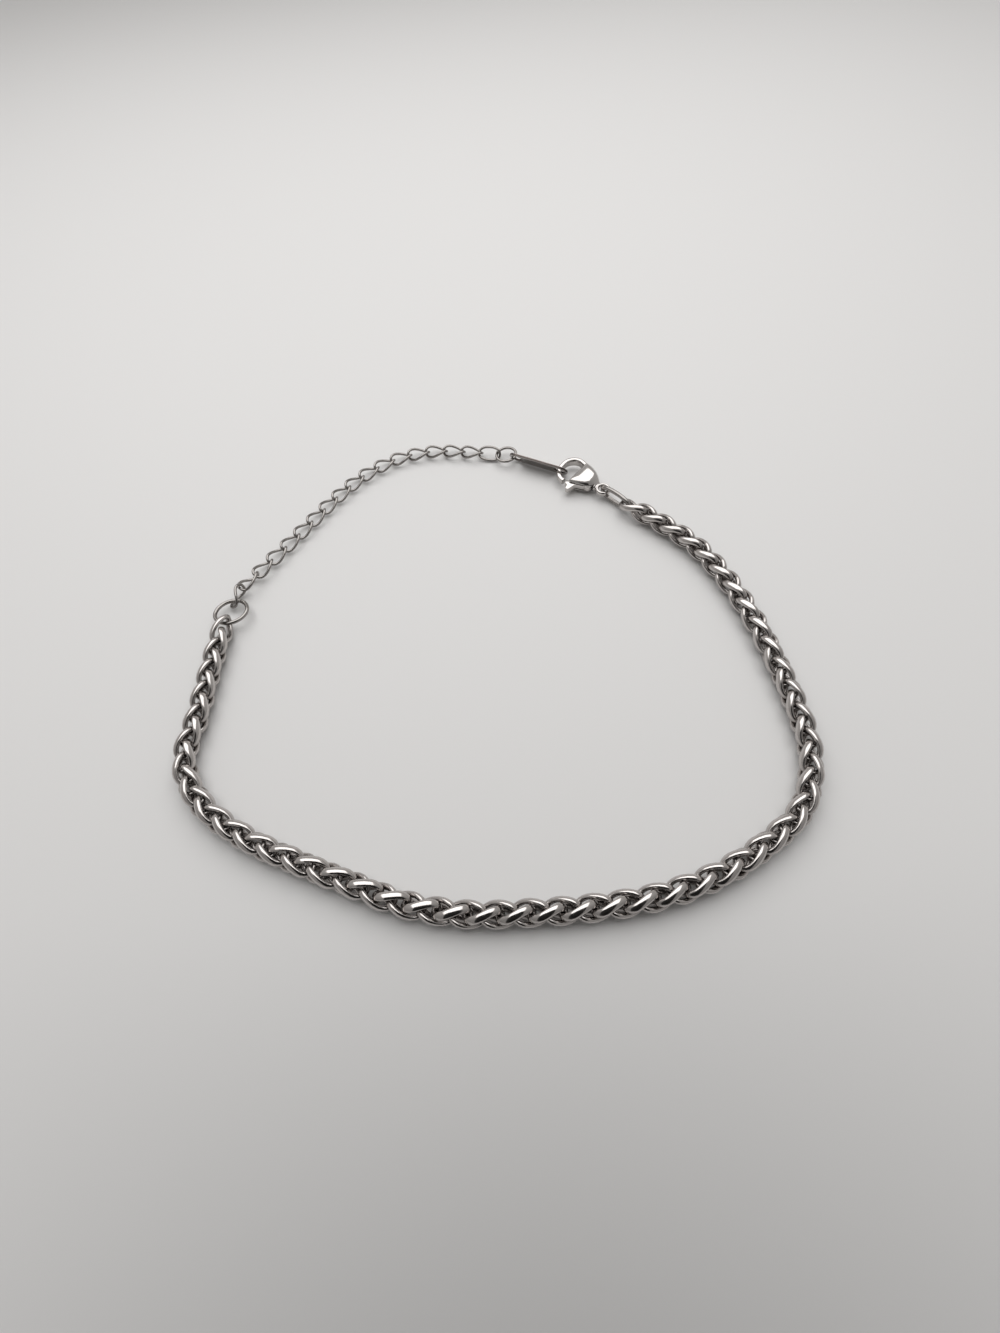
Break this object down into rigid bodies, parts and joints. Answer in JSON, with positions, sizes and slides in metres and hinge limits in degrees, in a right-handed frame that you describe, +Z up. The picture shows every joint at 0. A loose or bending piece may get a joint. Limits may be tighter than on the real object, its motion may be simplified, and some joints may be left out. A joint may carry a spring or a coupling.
{
  "type": "wheat chain bracelet",
  "caption": "Bracelet of woven wheat chain with a thin curb extender chain, a small bare tag and a lobster clasp with a sprung lever, lying fastened in a loop.",
  "frame": {"origin": "on the table under the middle of the whole bracelet's box", "axes": "+Z up, +X across the loop from the big ring's side to the far bend of the main chain, +Y from the bracelet's long plain bend to the extender"},
  "size_m": [0.0772, 0.0748, 0.0031],
  "materials": {
    "polished_steel": "polished"
  },
  "bodies": {
    "bracelet": {"main_chain": "polished_steel", "big_ring": "polished_steel", "extender_link_01": "polished_steel", "extender_link_02": "polished_steel", "extender_link_03": "polished_steel", "extender_link_04": "polished_steel", "extender_link_05": "polished_steel", "extender_link_06": "polished_steel", "extender_link_07": "polished_steel", "extender_link_08": "polished_steel", "extender_link_09": "polished_steel", "extender_link_10": "polished_steel", "extender_link_11": "polished_steel", "extender_link_12": "polished_steel", "extender_link_13": "polished_steel", "extender_link_14": "polished_steel", "extender_link_15": "polished_steel", "extender_link_16": "polished_steel", "extender_link_17": "polished_steel", "extender_link_18": "polished_steel", "small_ring": "polished_steel", "tag": "polished_steel", "clasp_body": "polished_steel", "end_link": "polished_steel"},
    "lever": {"clasp_lever": "polished_steel"}
  },
  "joints": [
    {"name": "clasp_lever_hinge", "type": "hinge", "parent": "bracelet", "child": "lever", "pos_m": [0.0178, 0.02497, 0.0013], "axis": [0, 0, -1], "range_deg": [0, 30], "stiffness_Nm_per_rad": 0.001, "springref_deg": -5.73}
  ]
}
